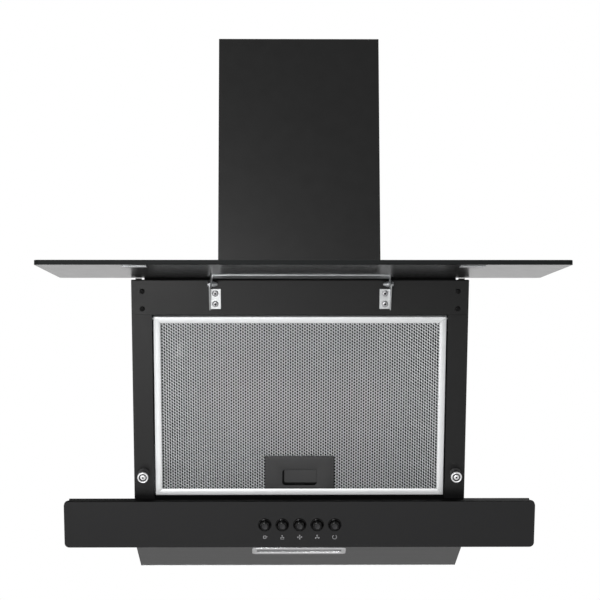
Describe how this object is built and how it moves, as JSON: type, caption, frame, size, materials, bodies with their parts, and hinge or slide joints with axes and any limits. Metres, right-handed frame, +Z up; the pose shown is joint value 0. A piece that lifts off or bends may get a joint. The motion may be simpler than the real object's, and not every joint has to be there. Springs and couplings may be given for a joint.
{
  "type": "chimney range hood",
  "caption": "Wall-mounted slanted cooker hood with a swing-up black glass front, grease filter, push-button strip, blower and telescoping duct cover.",
  "frame": {"origin": "on the wall plane, in the middle of the hood's width, level with the lowest edge of its back", "axes": "+X to the viewer's right, +Y into the wall, +Z up"},
  "size_m": [0.6, 0.5457, 0.681],
  "materials": {
    "satin_black_steel": "satin black stove enamel",
    "chimney_black_steel": "satin black stove enamel",
    "galvanised_steel": "bright zinc",
    "hinge_zinc": "bright zinc",
    "black_glass": "black toughened glass, polished",
    "button_black": "glossy black",
    "black_plastic": "matte black",
    "grey_plastic": "matte grey",
    "black_screw": "blackened",
    "filter_aluminium": "natural, satin",
    "lamp_chrome": "polished",
    "lamp_diffuser": "frosted",
    "lamp_white": "white",
    "cup_steel": "polished",
    "magnet_grey": "nickel grey",
    "buffer_rubber": "matte black",
    "motor_steel": "satin"
  },
  "bodies": {
    "hood_body": {"side_panel_left": "satin_black_steel", "side_panel_right": "satin_black_steel", "top_rail": "satin_black_steel", "front_apron": "satin_black_steel", "top_panel": "satin_black_steel", "rear_panel": "galvanised_steel", "underside_panel": "satin_black_steel", "rail_screws": "black_screw", "stop_buffers": "buffer_rubber", "control_glass": "black_glass", "control_carrier": "satin_black_steel", "button_bezels": "button_black", "switch_block": "black_plastic", "catch_post_left": "black_plastic", "catch_post_right": "black_plastic", "catch_cups": "cup_steel", "catch_magnets": "magnet_grey", "catch_screws": "cup_steel", "hinge_bracket_left": "hinge_zinc", "hinge_bracket_right": "hinge_zinc", "hinge_screws": "hinge_zinc", "hinge_pin_left": "hinge_zinc", "hinge_pin_right": "hinge_zinc", "pin_caps": "hinge_zinc", "filter_clips": "galvanised_steel", "chimney_lower": "chimney_black_steel", "duct_collar": "black_plastic", "damper_rod": "galvanised_steel", "blower_shell_left": "galvanised_steel", "blower_shell_right": "galvanised_steel", "motor": "motor_steel", "motor_bracket": "galvanised_steel", "control_box": "grey_plastic", "run_capacitor": "grey_plastic", "cable_gland": "black_plastic", "lamp_bezel": "lamp_chrome", "lamp_lens": "lamp_diffuser", "lamp_board": "lamp_white", "lamp_housing": "galvanised_steel"},
    "glass_door": {"glass_panel": "black_glass", "glass_carrier": "hinge_zinc", "strike_plates": "galvanised_steel"},
    "filter_cassette": {"filter_frame": "filter_aluminium", "filter_mesh": "filter_aluminium", "filter_handle": "black_plastic"},
    "filter_bolt": {"filter_latch": "black_plastic"},
    "upper_cover": {"chimney_upper": "chimney_black_steel", "chimney_bracket": "galvanised_steel"},
    "fan_rotor": {"impeller": "grey_plastic", "motor_shaft": "motor_steel"},
    "front_flap": {"damper_flap_front": "grey_plastic"},
    "rear_flap": {"damper_flap_rear": "grey_plastic"},
    "button_lamp_key": {"button_lamp": "button_black"},
    "button_speed_1_key": {"button_speed_1": "button_black"},
    "button_speed_2_key": {"button_speed_2": "button_black"},
    "button_speed_3_key": {"button_speed_3": "button_black"},
    "button_off_key": {"button_off": "button_black"}
  },
  "joints": [
    {"name": "glass_hinge", "type": "hinge", "parent": "hood_body", "child": "glass_door", "pos_m": [0, -0.26922, 0.33805], "axis": [-1, 0, 0], "range_deg": [-106, 0]},
    {"name": "cover_slide", "type": "slide", "parent": "hood_body", "child": "upper_cover", "axis": [0, 0, 1], "range_m": [0, 0.25]},
    {"name": "filter_swing", "type": "hinge", "parent": "hood_body", "child": "filter_cassette", "pos_m": [0, -0.23647, 0.29992], "axis": [-1, 0, 0], "range_deg": [0, 25]},
    {"name": "filter_bolt_slide", "type": "slide", "parent": "filter_cassette", "child": "filter_bolt", "axis": [0, -0.3907, 0.9205], "range_m": [-0.0035, 0]},
    {"name": "fan_spin", "type": "hinge", "parent": "hood_body", "child": "fan_rotor", "pos_m": [0, -0.103, 0.214], "axis": [1, 0, 0], "continuous": true},
    {"name": "front_flap_swing", "type": "hinge", "parent": "hood_body", "child": "front_flap", "pos_m": [0, -0.067, 0.3625], "axis": [-1, 0, 0], "range_deg": [0, 75]},
    {"name": "rear_flap_swing", "type": "hinge", "parent": "hood_body", "child": "rear_flap", "pos_m": [0, -0.067, 0.3625], "axis": [1, 0, 0], "range_deg": [0, 75]},
    {"name": "button_lamp_press", "type": "slide", "parent": "hood_body", "child": "button_lamp_key", "axis": [0, 0.9205, 0.3907], "range_m": [0, 0.004], "stiffness_N_per_m": 350, "springref_m": -0.003},
    {"name": "button_speed_1_press", "type": "slide", "parent": "hood_body", "child": "button_speed_1_key", "axis": [0, 0.9205, 0.3907], "range_m": [0, 0.004], "stiffness_N_per_m": 350, "springref_m": -0.003},
    {"name": "button_speed_2_press", "type": "slide", "parent": "hood_body", "child": "button_speed_2_key", "axis": [0, 0.9205, 0.3907], "range_m": [0, 0.004], "stiffness_N_per_m": 350, "springref_m": -0.003},
    {"name": "button_speed_3_press", "type": "slide", "parent": "hood_body", "child": "button_speed_3_key", "axis": [0, 0.9205, 0.3907], "range_m": [0, 0.004], "stiffness_N_per_m": 350, "springref_m": -0.003},
    {"name": "button_off_press", "type": "slide", "parent": "hood_body", "child": "button_off_key", "axis": [0, 0.9205, 0.3907], "range_m": [0, 0.004], "stiffness_N_per_m": 350, "springref_m": -0.003}
  ]
}
